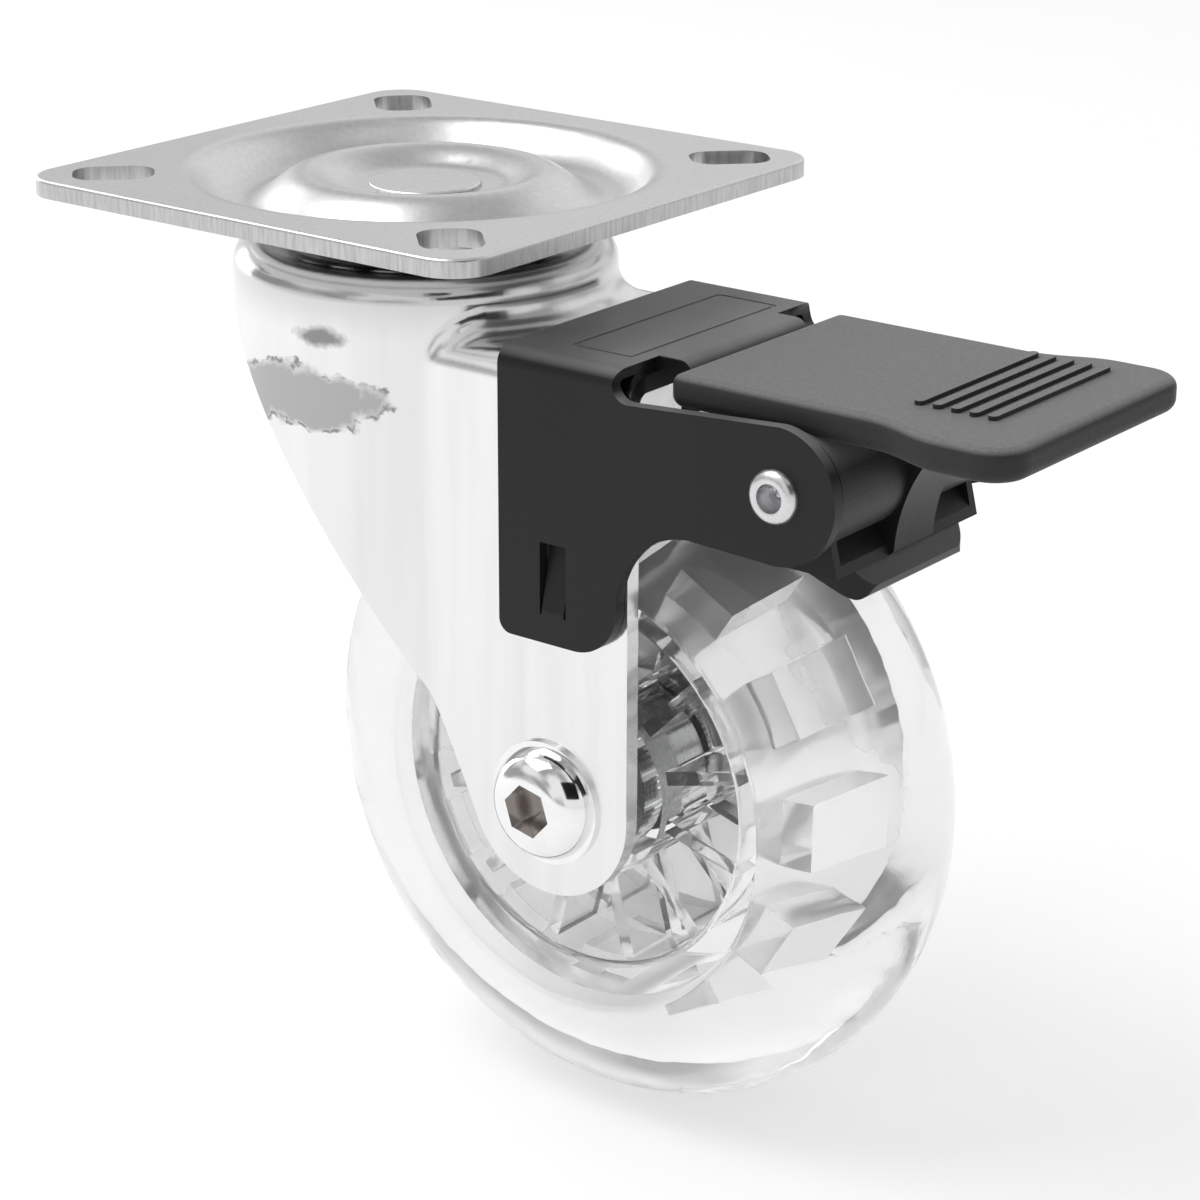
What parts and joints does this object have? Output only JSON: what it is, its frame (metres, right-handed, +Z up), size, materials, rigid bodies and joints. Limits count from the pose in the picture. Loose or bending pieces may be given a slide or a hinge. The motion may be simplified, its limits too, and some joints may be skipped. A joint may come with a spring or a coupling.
{
  "type": "swivel plate caster",
  "caption": "Swivel caster with a square top plate, clear wheel on ball bearings, pressed fork and a toe-press brake pedal.",
  "frame": {"origin": "centre of the mounting plate's top face, on the swivel axis", "axes": "+Z up, out of the plate's mounting face; +X the way the wheel trails and the pedal points; Y along the wheel axle"},
  "size_m": [0.1124, 0.06, 0.0975],
  "materials": {
    "zinc_plate": "bright satin zinc",
    "fork_zinc": "bright polished zinc with forming marks",
    "black_steel": "satin black coated sheet",
    "black_nylon": "matte fine-textured nylon",
    "chromed_fastener": "polished",
    "bearing_steel": "ground steel",
    "white_nylon": "plain",
    "rivet_aluminium": "satin",
    "clear_hub": "water-clear polycarbonate",
    "clear_tyre": "water-clear soft polyurethane"
  },
  "bodies": {
    "plate": {"mounting_plate": "zinc_plate", "kingpin": "zinc_plate", "lower_race_cup": "fork_zinc"},
    "fork": {"fork": "fork_zinc", "upper_balls": "bearing_steel", "lower_balls": "bearing_steel", "brake_bracket": "black_steel", "axle_bolt": "chromed_fastener", "axle_nut": "chromed_fastener", "nut_insert": "white_nylon", "nut_washer": "chromed_fastener", "axle_sleeve": "bearing_steel", "axle_spacers": "bearing_steel", "bearing_inner_rings": "bearing_steel", "pivot_rivet": "rivet_aluminium", "rivet_core": "rivet_aluminium"},
    "wheel": {"wheel_hub": "clear_hub", "tyre": "clear_tyre", "bearing_outer_rings": "bearing_steel", "bearing_balls": "bearing_steel", "bearing_shields": "bearing_steel"},
    "pedal": {"brake_pedal": "black_nylon", "brake_shoe": "black_steel"}
  },
  "joints": [
    {"name": "swivel", "type": "hinge", "parent": "plate", "child": "fork", "pos_m": [0, 0, 0], "axis": [0, 0, 1], "continuous": true},
    {"name": "wheel_spin", "type": "hinge", "parent": "fork", "child": "wheel", "pos_m": [0.0287, 0, -0.06], "axis": [0, 1, 0], "continuous": true},
    {"name": "pedal_press", "type": "hinge", "parent": "fork", "child": "pedal", "pos_m": [0.0573, 0, -0.0207], "axis": [0, 1, 0], "range_deg": [0, 31]}
  ]
}
